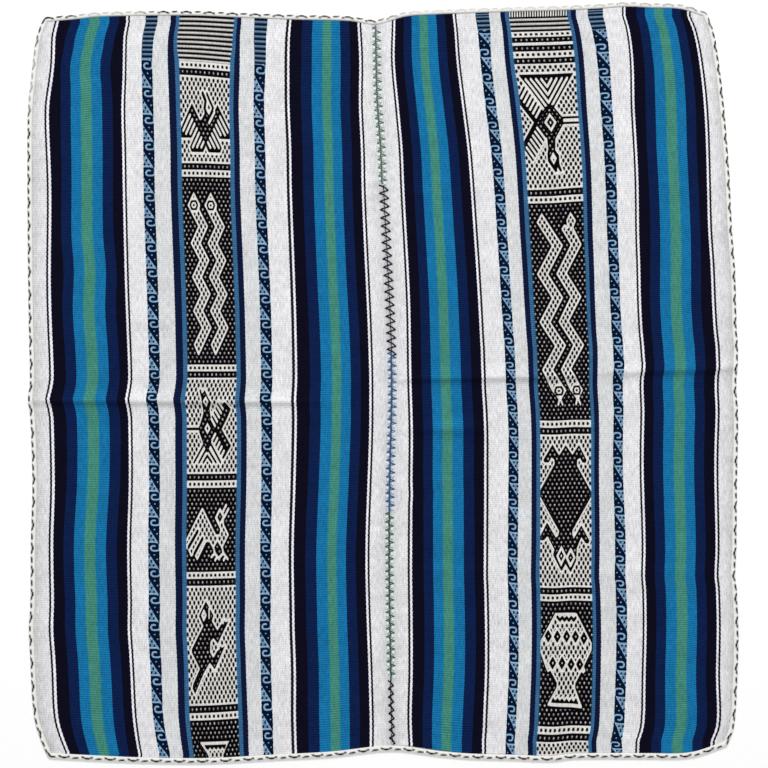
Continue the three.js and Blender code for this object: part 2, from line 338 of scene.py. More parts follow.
# The sheets' grid: rows to a pick and to a dot row, where a field's first dot row lies, face rows to
# a row of the underside, and how far a pick's rib stands up. Plain stripes have cells at most 18 mm wide, and a scroll has ten across. In the
# weaver's own counts the figured band runs from 0.5 to 23.5.
HALF_PICKS = 2
DOT_ROW = 2 * HALF_PICKS
FIRST_DOT = 0.75
UNDERSIDE_STEP = 4
RIB_HEIGHT = 0.15
STRIPE_CELL = 12.0
SCROLL_CELLS = 10
BAND_COUNTS = np.arange(0.5, 23.6, 0.5)

# The figured band's place among the stripes, and the width at either edge of a green stripe where
# its warps alternate with blue ones.
FIGURED = 17
BLENDED = 1.1

# The scrolls, by whether the panel is turned and by stripe: where each one starts, in picks, and
# how many picks of plain bars it has at the top end.
SCROLL_PICKS = 12
SCROLL_STARTS = {(True, 13): (5, 20), (True, 21): (4, 19), (False, 13): (0.5, 10), (False, 21): (1.5, 12)}

# How many picks further on each scroll is at some picks down the cloth, where the wefts are beaten
# closer together: (pick, slip).
SCROLL_SLIP = {
    (True, 13): [(25, -1.8), (48, -1.4), (71, -0.5), (94, 0), (165, 0), (184, 3.2), (232, 3.7),
                 (277, 4.6)],
    (True, 21): [(25, 0.2), (140, 0.5), (165, 1), (184, 2.8), (232, 3.7), (277, 4.6)],
    (False, 13): [(27, 1), (51, 0.5), (160, 0.5), (176, 0), (198, 2.5), (223, 4.4), (248, 5.8),
                  (297, 5.3)],
    (False, 21): [(27, 0.5), (51, 0), (76, -1), (174, -1), (198, 0.5), (248, 2), (297, 3.4), (321, 2)],
}


def stripe_columns(stripes):
    """Where the sheet's columns run across a panel. Returns their places in mm, the stripe of each
    cell between them, and the weaver's count at each cell's two sides, which the weave's pattern
    follows: millimetres in a plain stripe, tenths in a scroll and floats' half pitches in the
    figured band."""
    places, owners, counts = [0.0], [], []
    for index, (name, width) in enumerate(stripes):
        if name == "figured":
            count = BAND_COUNTS
        elif name == "scroll":
            count = np.arange(SCROLL_CELLS + 1.0)
        elif name == "green":
            count = np.array([0, BLENDED, width - BLENDED, width])
        else:
            count = np.linspace(0, width, max(1, round(width / STRIPE_CELL)) + 1)
        share = (count - count[0]) / (count[-1] - count[0])
        places += list(places[-1] + share[1:] * width)
        owners += [index] * (len(count) - 1)
        counts += list(zip(count[:-1], count[1:]))
    return np.array(places), np.array(owners), np.array(counts)


def band_rows(band):
    """The rows of the sheet's grid, one each half pick from the top end down: how far down the
    band each lies, which stretch each cell is in, and its place along the weave's pattern, where
    dot rows fall on whole numbers, two picks apart."""
    down, owners, lattice = [0.0], [], []
    for index, (kind, rows, first, length) in enumerate(band):
        picks = 2 * rows + 1 if kind.endswith("field") else rows
        steps = picks * HALF_PICKS
        down += list(down[-1] + np.arange(1, steps + 1) / steps * length)
        owners += [index] * steps
        row = first - FIRST_DOT + np.arange(steps + 1) / DOT_ROW
        lattice += list(zip(row[:-1], row[1:]))
    return np.array(down), np.array(owners), np.array(lattice)


def to_side(w, v, start, end):
    """Distance to the straight line from one point to another."""
    dx, dy = end[0] - start[0], end[1] - start[1]
    t = np.clip(((w - start[0]) * dx + (v - start[1]) * dy) / max(dx * dx + dy * dy, 1e-9), 0, 1)
    return np.hypot(w - start[0] - t * dx, v - start[1] - t * dy)


def polygon(w, v, points):
    """Signed distance to a closed outline, positive inside: the shortest distance to its sides,
    and inside where a ray crosses the sides an odd number of times."""
    sides = list(zip(points, points[1:] + points[:1]))
    distance = np.minimum.reduce([to_side(w, v, start, end) for start, end in sides])
    inside = np.zeros(w.shape, bool)
    for (x0, y0), (x1, y1) in sides:
        if y1 != y0:
            crosses = (y0 > v) != (y1 > v)
            inside ^= crosses & (w < x0 + (v - y0) * (x1 - x0) / (y1 - y0))
    return np.where(inside, distance, -distance)


def stroke(w, v, points, half_width):
    """Signed distance to a line of that half width through the points, positive on it."""
    sides = zip(points[:-1], points[1:])
    return half_width - np.minimum.reduce([to_side(w, v, start, end) for start, end in sides])


def mirrored(axis, shapes):
    """The shapes with their mirror images about the line w = axis."""
    turned = [(kind, [(2 * axis - w, v) for w, v in points], *rest) for kind, points, *rest in shapes]
    return shapes + turned


def moved(dw, dv, shapes):
    """The shapes set over by so many counts across and rows along."""
    return [(kind, [(w + dw, v + dv) for w, v in points], *rest) for kind, points, *rest in shapes]


def eye(w, v, wide, high):
    """A ring with a pupil, cut into a head: ground, then figure, then ground again."""
    corners = [(-0.6, -1), (0.6, -1), (1, 0), (0.6, 1), (-0.6, 1), (-1, 0)]
    return [
        ("cut", [(w + a * wide, v + b * high) for a, b in corners]),
        ("shape", [(w + a * wide * 0.58, v + b * high * 0.58) for a, b in corners]),
        ("cut", [(w + a * wide * 0.26, v + b * high * 0.26) for a, b in corners]),
    ]


def diamond(w, v, wide, high):
    """The corners of a diamond about a point, from its two half widths."""
    return [(w, v - high), (w + wide, v), (w, v + high), (w - wide, v)]


# Half the width of a line or gap in a chart where it has none of its own.
SLIT = 0.36

# Charts of the figures in weaver's counts: w floats' half pitches from the band's left edge, v dot
# rows from the field's first. A shape or line is in the figure's yarn, a cut or gap in the ground's.
CREST_BIRD = mirrored(12, [
    ("shape", [(6, 5.3), (9.5, 9), (14, 9), (14, 12), (11.9, 14.9), (10.8, 16.3), (5.2, 16.3),
               (4.4, 15.2), (6.4, 13.1), (0, 13.1), (0, 11.4)]),
    ("gap", [(5, 8), (1.5, 11.5)]), ("gap", [(6, 9), (2.8, 12.2)]), ("gap", [(7, 10), (4.8, 12.2)]),
    ("gap", [(8, 11), (5.6, 13.4)]), ("gap", [(9, 12), (5.8, 15.2)]), ("gap", [(10, 13), (7.8, 15.2)]),
    ("gap", [(11, 14), (9.8, 15.2)]),
]) + [
    ("shape", [(12, 6.4), (17, 6.9), (14.3, 9.8), (9.4, 9.8), (12.1, 7.2)]),
    ("cut", diamond(13.9, 6, 1.9, 1.9)), ("gap", [(16.5, 7.1), (13.8, 9.6)]),
    ("line", [(11, 3), (12.4, 4.7), (11.9, 6.3), (12.8, 8)], 0.55),
    ("line", [(13, 3), (14.3, 4.5), (15.9, 6.2), (14.4, 7.9)], 0.42),
]

SNAKE = [
    ("shape", [(6, 2.9), (8.8, 5.8), (8.4, 7), (12.2, 11), (8.4, 15), (12.2, 19), (8.4, 23), (12.2, 27),
               (8.4, 31), (12.2, 35), (8.4, 39), (5.8, 41.7), (3.7, 39), (7.6, 35), (3.7, 31),
               (7.6, 27), (3.7, 23), (7.6, 19), (3.7, 15), (7.6, 11), (2.9, 6)]),
] + eye(5.9, 6, 2.1, 1.2)

UPWARD_BIRD = [
    ("shape", [(8, 3.4), (9, 2), (12.6, 5), (11.4, 6.4), (11.5, 8.4), (13.5, 11.3), (11.2, 15.2),
               (9.8, 17), (8.3, 15), (6.2, 12), (6.2, 10.6), (8.3, 7.4)]),
    ("shape", [(11.5, 8.8), (16, 4.4), (17.6, 5.4), (18.7, 4.8), (21.2, 6.6), (16.6, 11.3), (20.9, 15.2),
               (17.2, 18.5), (12, 13.8), (11, 11.3)]),
    ("line", [(7, 2.2), (8.5, 4)]), ("line", [(0, 11.2), (6.6, 11.2)], 0.33),
    ("line", [(3.8, 19.1), (8.4, 14.8)]), ("line", [(6.1, 19.1), (9.8, 15.6), (13.9, 19.1)]),
    ("line", [(8.1, 19.1), (9.9, 17.5), (12, 19.1)]), ("line", [(16, 19.1), (11.2, 14.4)]),
    ("cut", diamond(10, 4.8, 1.35, 1.25)), ("cut", diamond(10, 11.1, 1.4, 1.35)),
] + [("gap", [(11.8 + k, 8.8 - k), (13.5 + k, 10.5 - k)]) for k in range(5)] + [
    ("gap", [(13.6 + k, 12.4 + k), (12.2 + k, 13.8 + k)]) for k in range(5)]

STANDING_BIRD = [
    ("shape", [(7.8, 3.7), (14.3, 10.1), (16, 10.1), (16.3, 8.9), (13.7, 6.2), (15.9, 3.8), (17.7, 5.4),
               (17.9, 7.8), (20.3, 10.2), (17.2, 13.4), (15, 11.7), (13.1, 13.4), (11.3, 11.8),
               (9.8, 11.8), (5.6, 16.1), (4.1, 14.6), (2.7, 15.3), (1.6, 13.8), (0, 13), (0, 11.6)]),
    ("gap", [(5.8, 9.3), (1.6, 13)], 0.5), ("gap", [(8.1, 11), (4.2, 14.6)], 0.5),
    ("cut", diamond(16, 6.1, 1.3, 1.3)), ("line", [(17.2, 5), (18.8, 3.3)]),
    ("line", [(18, 6.1), (19.9, 4.2)]),
]
for step in (0, 4):
    STANDING_BIRD += moved(step, 0, [
        ("line", [(13, 12.8), (13.9, 14.5), (15.9, 15.9)], 0.33),
        ("line", [(13.7, 14.5), (12.2, 15.3)], 0.33), ("line", [(14.9, 15.2), (13.9, 16.1)], 0.33)])

LIZARD = [
    ("shape", [(9.4, 2.6), (13.2, 5.9), (12.4, 7.1), (15, 9.2), (17, 7.7), (18, 8), (18, 7), (19.2, 7.5),
               (20.6, 7), (15, 12.2), (13, 10.9), (11.6, 11.6), (11.2, 14), (12.6, 15.3), (14.5, 13.8),
               (15.8, 13.4), (15.8, 12.7), (17, 13.1), (18.5, 12.6), (13.1, 17.9), (10.8, 16.3),
               (7.6, 18.9), (3.5, 23.2), (2.3, 22), (2.6, 21), (6, 17.6), (2.5, 14), (2.5, 13.3),
               (8.4, 8.2), (6.2, 5.9)]),
    ("cut", diamond(8.6, 5.8, 1.3, 1.5)), ("shape", diamond(8.7, 5.8, 0.4, 0.4)),
    ("gap", [(10.9, 4.4), (11.1, 6.4)], 0.3),
]

BOWL = [
    ("shape", [(4.3, 4), (18.5, 4), (15.2, 7), (15.2, 9), (8, 9), (8, 7.2)]),
    ("cut", [(6.2, 4.7), (17.2, 4.7), (16, 5.9), (15, 5.3), (14, 5.9), (13, 5.3), (12, 5.9), (11, 5.3),
             (10, 5.9), (9, 5.3), (8, 5.9), (7, 5.5)]),
]

DIVING_BIRD = [
    ("shape", [(1.4, 1.8), (22.6, 1.8), (12, 12.4)]),
] + [("gap", [(4 + k, 3), (12, 11 - k), (20 - k, 3)]) for k in (0, 2, 4, 6)] + [
    ("shape", [(10.6, 10), (13.4, 9.6), (17.2, 13), (17.2, 14.6), (13.4, 18.4), (13, 21.2),
               (14.4, 22.6), (14.3, 24.7), (15.3, 26.6), (14.6, 26.9), (13.2, 25.4), (13.3, 26.8),
               (12.4, 26.8), (9.6, 24), (9.6, 22), (10.1, 20.8), (10, 18), (6, 14.2)]),
    ("line", [(0, 8), (6.4, 14.1)], 0.7), ("line", [(0, 20.2), (6.4, 13.9)], 0.7),
    ("line", [(16.5, 13), (24, 13.1)], 0.3), ("line", [(16.5, 14.4), (24, 14.5)], 0.3),
    ("cut", diamond(12, 14.1, 2.5, 2.4)), ("shape", diamond(12, 14.1, 1.5, 1.45)),
    ("cut", diamond(12, 14.1, 0.45, 0.4)), ("cut", diamond(12, 23.3, 1.35, 1.6)),
] + [("line", [(0.2 + k, 7.8 + k), (3 + k, 5 + k)]) for k in range(7)] + [
    ("line", [(6.2 - k, 14.2 + k), (9.6 - k, 17.6 + k)]) for k in range(7)]

FORKED_TONGUE = [("line", [(10, 48), (9.1, 49.8)], 0.33), ("line", [(10, 48), (11.1, 49.8)], 0.33)]
LONG_SNAKES = [
    ("shape", [(6, 1.7), (14.3, 10), (7.4, 17), (13.4, 23), (7.4, 29), (13.4, 35), (7.4, 41),
               (13.2, 46.2), (10.1, 48.9), (6.9, 46.3), (2.6, 41), (8.6, 35), (2.6, 29), (8.6, 23),
               (2.6, 17), (9.6, 10), (3.7, 4)]),
    ("shape", [(18, 1.8), (20.2, 4), (19, 5.7), (22.2, 10), (15.4, 17), (21.3, 23), (15.4, 29),
               (21.3, 35), (15.4, 41), (20.6, 46.2), (18, 48.9), (15, 46.3), (10.9, 41), (16.6, 35),
               (10.9, 29), (16.6, 23), (10.9, 17), (17.6, 10), (14, 5.9), (15.3, 4.7), (16.6, 5.4),
               (16.2, 3.8)]),
] + eye(9.9, 46.3, 2.3, 1.2) + eye(17.8, 46.3, 2, 1.2) + FORKED_TONGUE + moved(8, 0, FORKED_TONGUE)

TURTLE = [
    ("shape", [(6, 1.5), (9, 4.2), (12, 1.8), (15, 4.2), (18, 1.8), (21.5, 5.4), (21.2, 6.1), (19.6, 6.1),
               (18.5, 5), (17.2, 5.4), (17.2, 6.8), (23.8, 13.2), (23.8, 13.8), (15, 22.2), (14.9, 23.2),
               (15.5, 24.2), (18.9, 20.9), (22.6, 24.6), (22.2, 25.3), (20.8, 25.3), (18.9, 23.8),
               (16.9, 26.5), (16.8, 29.4), (14.4, 32.3), (12, 30.2), (10.2, 31.9), (6.3, 27.9),
               (6.8, 26.6), (3.8, 23.4), (2.2, 24.5), (0.4, 24.5), (0.2, 23.8), (3.6, 20.1), (7.6, 23.8),
               (8.6, 23.2), (8.9, 22.2), (0, 13.6), (0, 13), (7, 6.2), (6.8, 5.2), (5.6, 4.6),
               (4.4, 5.9), (2.4, 5.9), (1.8, 5.3)]),
]
for column, row in ((10, 28.2), (14.2, 28.7)):
    TURTLE += [("cut", diamond(column, row, 2.2, 2.5)), ("shape", diamond(column, row, 1.25, 1.35)),
               ("cut", diamond(column, row, 0.4, 0.35))]

VASE = [
    ("shape", [(7, 1.9), (16.3, 2.1), (22.9, 8.8), (22.9, 10.4), (19.6, 14.2), (20.4, 15.2), (19.4, 15.9),
               (18.6, 15.4), (16, 18.2), (16, 19.2), (19.2, 23.4), (19, 23.8), (4.4, 23), (4.2, 22.6),
               (8, 18.8), (8, 17.8), (5, 15), (3.8, 15.4), (3, 14.4), (0.2, 10.6), (0.2, 8.6)]),
    ("gap", [(7.8, 2.8), (9, 3.6), (10, 3), (11, 3.7), (12, 3.1), (13, 3.8), (14, 3.1), (15, 3.8),
             (16, 3.2)], 0.42),
    ("cut", [(5.6, 22.3), (6.5, 21), (7.5, 21.8), (8.5, 21.2), (9.5, 21.9), (10.5, 21.4), (11.5, 22.1),
             (12.5, 21.5), (13.5, 22.3), (14.5, 21.6), (15.5, 22.3), (16.6, 21.3), (17.8, 22.9)]),
]
for column, row in ((3.8, 7.2), (7.8, 7.3), (11.9, 7.4), (15.8, 7.5), (19.5, 7.8),
                    (5.9, 13.3), (10, 13.4), (14, 13.8), (17.8, 13.8)):
    VASE += [("cut", diamond(column, row, 1.65, 1.6)), ("shape", diamond(column + 0.1, row, 0.35, 0.35))]

LEFT_CHARTS = {3: CREST_BIRD, 6: SNAKE + moved(8, 0, SNAKE), 9: UPWARD_BIRD, 12: STANDING_BIRD,
               15: LIZARD, 18: BOWL}
RIGHT_CHARTS = {8: DIVING_BIRD, 11: LONG_SNAKES, 14: TURTLE, 17: VASE}


def chart_field(chart, w, v):
    """Signed distance to a figure in weaver's counts, positive in it: its pieces added and cut
    in the order of its chart."""
    field = np.full(w.shape, -99.0)
    for kind, points, *width in chart:
        if kind in ("shape", "cut"):
            piece = polygon(w, v, points)
        else:
            piece = stroke(w, v, points, width[0] if width else SLIT)
        if kind in ("shape", "line"):
            field = np.maximum(field, piece)
        else:
            field = np.minimum(field, -piece)
    return field


def thin_bars(row, dark, light, edge):
    """Bars of one pick each, dark and light in turn: a value for each in the middle of its pick,
    and one between them, which settles how far the dark ones spread."""
    return np.where(row % 2 == 1, np.where(row // 2 % 2 == 0, dark, light), edge)


def figured_field(band, charts, w, owners):
    """The figured band's pattern at the sheet's rows and the band's columns, positive where the
    light yarn lies on top: bars and grounds by their stretch, then each field's figure."""
    field = np.zeros((len(owners) + 1, len(w)))
    start = 0
    for index, (kind, _, _, _) in enumerate(band):
        cells = int((owners == index).sum())
        k = np.arange(cells + 1)
        sign = 1 if kind.startswith("light") else -1
        edge = np.minimum(k, cells - k)[:, None] / DOT_ROW
        even = np.ones(len(w))
        if kind == "fine bars":
            block = thin_bars(k, -0.45, 0.035, -0.008)[:, None] * even
        elif kind == "warp ends":
            block = (0.01 * k - 0.06)[:, None] + 0.3 * np.cos(2 * math.pi * w)[None, :]
        elif kind == "light line":
            block = 1.8 * edge * even
        else:
            block = sign * 1.4 * edge * even
        if index in charts:
            across, along = np.meshgrid(w, k / DOT_ROW - FIRST_DOT)
            figure = chart_field(charts[index], across, along)
            ground = np.abs(block)
            block = sign * np.where(figure > -1.4 * ground, -figure, ground)
            block[[0, -1]] = 0
        field[start:start + cells + 1] += block
        start += cells
    return field


# One repeat of the scroll, charted in tenths of its width and with about two rows to a pick: a light
# wedge, dark and light spots, and a light hook that curls in from the edge.
SCROLL_ROWS = 2.05
WEDGE = [(0.2, 0), (3.5, 1.4), (11, 1.4), (11, 17), (9.6, 16)]
HOOK = [(-1, 20.5), (0.4, 19), (2, 18.3), (5.4, 18.2), (7, 18.9), (7.6, 20.2), (7.5, 21.7),
        (6.6, 22.8), (5.2, 23.1), (3.8, 22.7)]
DARK_SPOTS = [(5.2, 4.1), (9.2, 4.1), (7.2, 8.1), (9.2, 12.4)]
LIGHT_SPOTS = [(2.2, 10), (4.5, 14.2)]


def scroll_field(x, pick, start, slip, bars, turned):
    """The scroll at places x, 0 to 10 across its band, and picks along it, positive where the
    light yarn is on top. It repeats every 12 picks from its start. The left panel's scroll is
    turned end for end. The first picks are plain bars of one pick each. The values are kept
    small, so that the weave adds no floats of its own."""
    along = pick + start + np.interp(pick, *np.array(slip).T)
    if turned:
        x, along = SCROLL_CELLS - x, -along
    y = along % SCROLL_PICKS
    light = np.full(x.shape, -9.0)
    dark = light.copy()
    for shift in (-SCROLL_PICKS, 0, SCROLL_PICKS):
        v = (y - shift) * SCROLL_ROWS
        wedge = polygon(x, v, WEDGE)
        light = np.maximum(light, np.where(wedge > 1.3, 0.03, wedge))
        for column, row in DARK_SPOTS:
            dark = np.maximum(dark, stroke(x, v, [(column, row - 0.4), (column, row + 0.4)], 0.85))
        for column, row in LIGHT_SPOTS:
            light = np.maximum(light, stroke(x, v, [(column, row - 0.2), (column, row + 0.2)], 0.7))
        light = np.maximum(light, stroke(x, v, HOOK, 0.75))
        light = np.maximum(light, stroke(x, v, [(-0.2, 19), (-0.2, 24.5)], 0.8))
    value = 0.4 * np.clip(np.minimum(light, -dark), -1, 1)
    plain = thin_bars(np.round(pick * HALF_PICKS).astype(int), -0.3, 0.008, -0.02)
    return np.where(pick < bars, plain, value)


def add_mesh(name, vertices, faces):
    """A mesh object with its place in its mesh, from points in millimetres."""
    mesh = bpy.data.meshes.new(name)
    mesh.from_pydata((vertices * MM).tolist(), [], faces)
    mesh.update()
    mesh.polygons.foreach_set("use_smooth", np.ones(len(mesh.polygons), bool))
    piece = bpy.data.objects.new(name, mesh)
    bpy.context.scene.collection.objects.link(piece)
    return piece


def bake_map(mesh, places):
    """Adds the map that baked colours lie in, from the place of each face corner in it."""
    layer = mesh.uv_layers.new(name="OFBake")
    layer.data.foreach_set("uv", places.astype(np.float32).ravel())


def point_yarns(piece, colours):
    """Gives each point of a piece the linear colour of its yarn."""
    layer = piece.data.attributes.new("yarn", "FLOAT_COLOR", "POINT")
    layer.data.foreach_set("color", colours.astype(np.float32).ravel())


def panel_plan(stripes, wander, shifts, band, tip, drop, left_x, right_x):
    """Where each crossing of a column and a row of the sheet lies, and what is woven there.
    A warp runs at its share of the width between the selvedges plus its wander and its group's
    shift. A weft row lies at its share of the way from the top edge to the bottom one, tipped
    about the figured band. Each depends on the other, so they are worked out twice over."""
    places, stripe_of, counts = stripe_columns(stripes)
    down, stretch_of, lattice = band_rows(band)
    widths = np.cumsum([0] + [width for _, width in stripes])
    share = places / places[-1]
    row_share = down / down[-1]
    line_share = np.concatenate([[0], widths[LINES] / widths[-1], [1]])
    heights = np.array([row[0] for row in wander])
    offsets = np.array([row[1] for row in wander])
    middle = 0.5 * (widths[FIGURED] + widths[FIGURED + 1]) / widths[-1]

    def warp_x(y):
        """Each warp's place across the cloth at each of the heights."""
        edge = np.zeros(len(y))
        leans = np.stack([edge] + [
            smooth_curve(list(zip(heights[::-1], offsets[::-1, k])), y) for k in range(len(LINES))
        ] + [edge], axis=1)
        left, right = left_x(y), right_x(y)
        lean = np.stack([np.interp(share, line_share, row) for row in leans])
        for starts, weights, heights_and_shifts in shifts:
            weight = np.interp(share, widths[starts] / widths[-1], weights)
            lean = lean + smooth_curve(heights_and_shifts, y)[:, None] * weight[None, :]
        return left[:, None] + (right - left)[:, None] * share[None, :] + lean

    x = warp_x(370 - 742 * row_share)
    for _ in range(2):
        top = smooth_curve(TOP_EDGE, x)
        bottom = smooth_curve(BOTTOM_EDGE, x)
        y = top + (bottom - top) * row_share[:, None]
        centre = x[:, [np.searchsorted(share, middle)]]
        inner = (x - centre) / (0.5 * (x[:, [-1]] - x[:, [0]]))
        y = y + smooth_curve(tip, y) * (x - centre) * np.clip(1 - inner**2, 0, 1)
        y = y - smooth_curve(drop, y)
        x = np.stack([warp_x(y[:, column])[:, column] for column in range(len(share))], axis=1)
    return dict(x=x, y=y, share=share, row_share=row_share, stripe_of=stripe_of, counts=counts,
                stretch_of=stretch_of, lattice=lattice)


# How far each pick pulls a stripe's edge aside, beside the narrow lines and elsewhere.
LINE_WAVER = 0.22
STRIPE_WAVER = 0.15


def waver(rows, stripe_of, stripes):
    """How far each pick pulls the columns aside: to one side and the other on alternate picks at a
    stripe's edge, and not at all at the selvedges or inside a stripe."""
    pick = np.arange(rows) // HALF_PICKS
    side = np.where(np.arange(rows) % HALF_PICKS == 1, np.where(pick % 2 == 0, 1, -1), 0)
    shift = np.zeros(len(stripe_of) + 1)
    for edge in np.where(np.diff(stripe_of) != 0)[0]:
        narrow = min(stripes[stripe_of[edge]][1], stripes[stripe_of[edge + 1]][1]) < 3
        shift[edge + 1] = LINE_WAVER if narrow else STRIPE_WAVER
    return side[:, None] * shift[None, :]


def cell_yarns(plan, stripes):
    """The face and back yarns of each cell across a panel. Blue and green warps alternate at a
    green stripe's edges, and the figured band's outermost warps are tinted by its neighbours."""
    stripe_of = plan["stripe_of"]
    names = [stripes[index][0] for index in stripe_of]
    yarns = [TWO_FACED.get(name, (name, name)) for name in names]
    at_edge = (np.roll(stripe_of, 1) != stripe_of) | (np.roll(stripe_of, -1) != stripe_of)
    for cell in np.where(at_edge)[0]:
        yarns[cell] = EDGE_YARNS.get(names[cell], yarns[cell])
    return [np.array([linear(YARN[pair[k]]) for pair in yarns]) for k in (0, 1)]


def panel_figure(plan, stripes, band, charts, turned):
    """The pattern's signed value at each crossing of the sheet, positive where the face yarn lies
    on top, as it does everywhere in a plain stripe."""
    rows, columns = plan["x"].shape
    figure = np.ones((rows, columns))
    pick = np.arange(rows) / HALF_PICKS
    for index, (name, _) in enumerate(stripes):
        cells = np.where(plan["stripe_of"] == index)[0]
        span = np.arange(cells[0], cells[-1] + 2)
        if name == "figured":
            figure[:, span] = figured_field(band, charts, BAND_COUNTS, plan["stretch_of"])
        if name == "scroll":
            start, bars = SCROLL_STARTS[turned, index]
            tenths, picks = np.meshgrid(np.arange(SCROLL_CELLS + 1.0), pick)
            slip = SCROLL_SLIP[turned, index]
            figure[:, span] = scroll_field(tenths, picks, start, slip, bars, turned)
    return figure


def panel_sheet(name, plan, stripes, band, charts, turned):
    """A panel as one closed sheet: the plan lifted over the creases with a rib at each pick, its
    underside every fourth row, and its four selvedges closed between them."""
    x, y, share = plan["x"], plan["y"], plan["share"]
    rows, columns = x.shape
    within = smoothstep(share, 0, 0.05) * smoothstep(1 - share, 0, 0.03)
    x = x + waver(rows, plan["stripe_of"], stripes) + kinks(x, y) * within
    rib = np.where(np.arange(rows) % HALF_PICKS == 1, RIB_HEIGHT, 0)[:, None]
    height = lift(x, y)
    under = slice(0, rows, UNDERSIDE_STEP)
    top = np.stack([x, y, height + CLOTH_THICKNESS - RIB_HEIGHT + rib], axis=2)
    low = np.stack([x[under], y[under], height[under]], axis=2)
    under_rows = low.shape[0]
    vertices = np.concatenate([top.reshape(-1, 3), low.reshape(-1, 3)])

    t = np.arange(rows * columns).reshape(rows, columns)
    u = rows * columns + np.arange(under_rows * columns).reshape(under_rows, columns)
    top_quads = np.stack([t[1:, :-1], t[1:, 1:], t[:-1, 1:], t[:-1, :-1]], axis=2).reshape(-1, 4)
    low_quads = np.stack([u[:-1, :-1], u[:-1, 1:], u[1:, 1:], u[1:, :-1]], axis=2).reshape(-1, 4)
    head = np.stack([t[0, :-1], t[0, 1:], u[0, 1:], u[0, :-1]], axis=1)
    foot = np.stack([t[-1, 1:], t[-1, :-1], u[-1, :-1], u[-1, 1:]], axis=1)
    step = np.arange(under_rows - 1) * UNDERSIDE_STEP
    ahead = [t[step + k, 0] for k in range(UNDERSIDE_STEP, -1, -1)]
    left = np.stack(ahead + [u[:-1, 0], u[1:, 0]], axis=1)
    ahead = [t[step + k, -1] for k in range(UNDERSIDE_STEP + 1)]
    right = np.stack(ahead + [u[1:, -1], u[:-1, -1]], axis=1)
    groups = (top_quads, low_quads, head, foot, left, right)
    faces = [face for group in groups for face in group.tolist()]
    piece = add_mesh(name, vertices, faces)
    mesh = piece.data
    # Selvedges are shaded flat, so that the face stays evenly lit right up to them.
    mesh.polygons.foreach_set("use_smooth", np.arange(len(faces)) < len(top_quads) + len(low_quads))

    # The two yarns of each face, which change places on the underside.
    cell = np.concatenate([np.tile(np.arange(columns - 1), rows + under_rows),
                           np.repeat([0, columns - 2], under_rows - 1)])
    flipped = np.zeros((len(faces), 1), bool)
    flipped[len(top_quads):len(top_quads) + len(low_quads)] = True
    face_yarn, back_yarn = cell_yarns(plan, stripes)
    for attribute, first, second in (("face_yarn", face_yarn, back_yarn),
                                     ("back_yarn", back_yarn, face_yarn)):
        colours = np.where(flipped, second[cell], first[cell])
        layer = mesh.attributes.new(attribute, "FLOAT_COLOR", "FACE")
        layer.data.foreach_set("color", colours.astype(np.float32).ravel())
    figure = panel_figure(plan, stripes, band, charts, turned)
    values = np.concatenate([figure.ravel(), figure[under].ravel()])
    layer = mesh.attributes.new("figure", "FLOAT", "POINT")
    layer.data.foreach_set("value", values.astype(np.float32))

    # The weave's own coordinates: the weaver's count across, and its dot rows along.
    side = np.tile(plan["counts"][None, :, :], (rows - 1, 1, 1))
    row = np.tile(plan["lattice"][:, None, :], (1, columns - 1, 1))
    corners = ((0, 1), (1, 1), (1, 0), (0, 0))
    weave = np.stack([np.stack([side[..., a], row[..., b]], axis=2) for a, b in corners], axis=2)
    places = np.zeros((len(mesh.loops), 2), np.float32)
    places[:weave.size // 2] = weave.reshape(-1, 2)
    mesh.uv_layers.new(name="weave").data.foreach_set("uv", places.ravel())

    # The map for baked colours: the face in its left half, the underside in its right half, and
    # the selvedges in the narrow margins round the face.
    is_low = np.arange(len(vertices)) >= rows * columns
    row_place = np.concatenate([plan["row_share"], plan["row_share"][under]])
    flat = np.stack([np.tile(0.005 + 0.49 * share, rows + under_rows),
                     np.repeat(0.005 + 0.99 * row_place, columns)], axis=1)
    parts = [flat[top_quads], flat[low_quads] + (0.5, 0)]
    for corners, axis, near, far in ((head, 1, 0.004, 0.001), (foot, 1, 0.996, 0.999),
                                     (left, 0, 0.004, 0.001), (right, 0, 0.4965, 0.4985)):
        margin = flat[corners]
        margin[..., axis] = np.where(is_low[corners], far, near)
        parts.append(margin)
    bake_map(mesh, np.concatenate([part.reshape(-1, 2) for part in parts]))
    return piece


# Wool scatters light among its fibres and has no sheen at this distance, so every surface here has
# a specular level close to none, and its blacks stay deep. The floor has it too, against glare.
MATT = 0.03


def new_material(name, roughness):
    """A material named for the real one, and its shader."""
    material = bpy.data.materials.new(name)
    material.use_nodes = True
    shader = material.node_tree.nodes["Principled BSDF"]
    shader.inputs["Specular IOR Level"].default_value = MATT
    shader.inputs["Roughness"].default_value = roughness
    return material, shader


def node(material, kind, inputs, **settings):
    """Adds a node with its settings, and its inputs set to values or linked to other sockets."""
    new = material.node_tree.nodes.new("ShaderNode" + kind)
    for key, value in settings.items():
        setattr(new, key, value)
    for key, value in inputs.items():
        if isinstance(value, bpy.types.NodeSocket):
            material.node_tree.links.new(value, new.inputs[key])
        else:
            new.inputs[key].default_value = value
    return new


def finish_material(material, shader, yarn, tone, height, strength, distance):
    """Gives the shader the yarn's colour times its tone, and bumps of that height."""
    colour = node(material, "VectorMath", {0: yarn, "Scale": tone}, operation="SCALE")
    bump = node(material, "Bump", {"Height": height, "Strength": strength, "Distance": distance})
    material.node_tree.links.new(colour.outputs[0], shader.inputs["Base Color"])
    material.node_tree.links.new(bump.outputs[0], shader.inputs["Normal"])


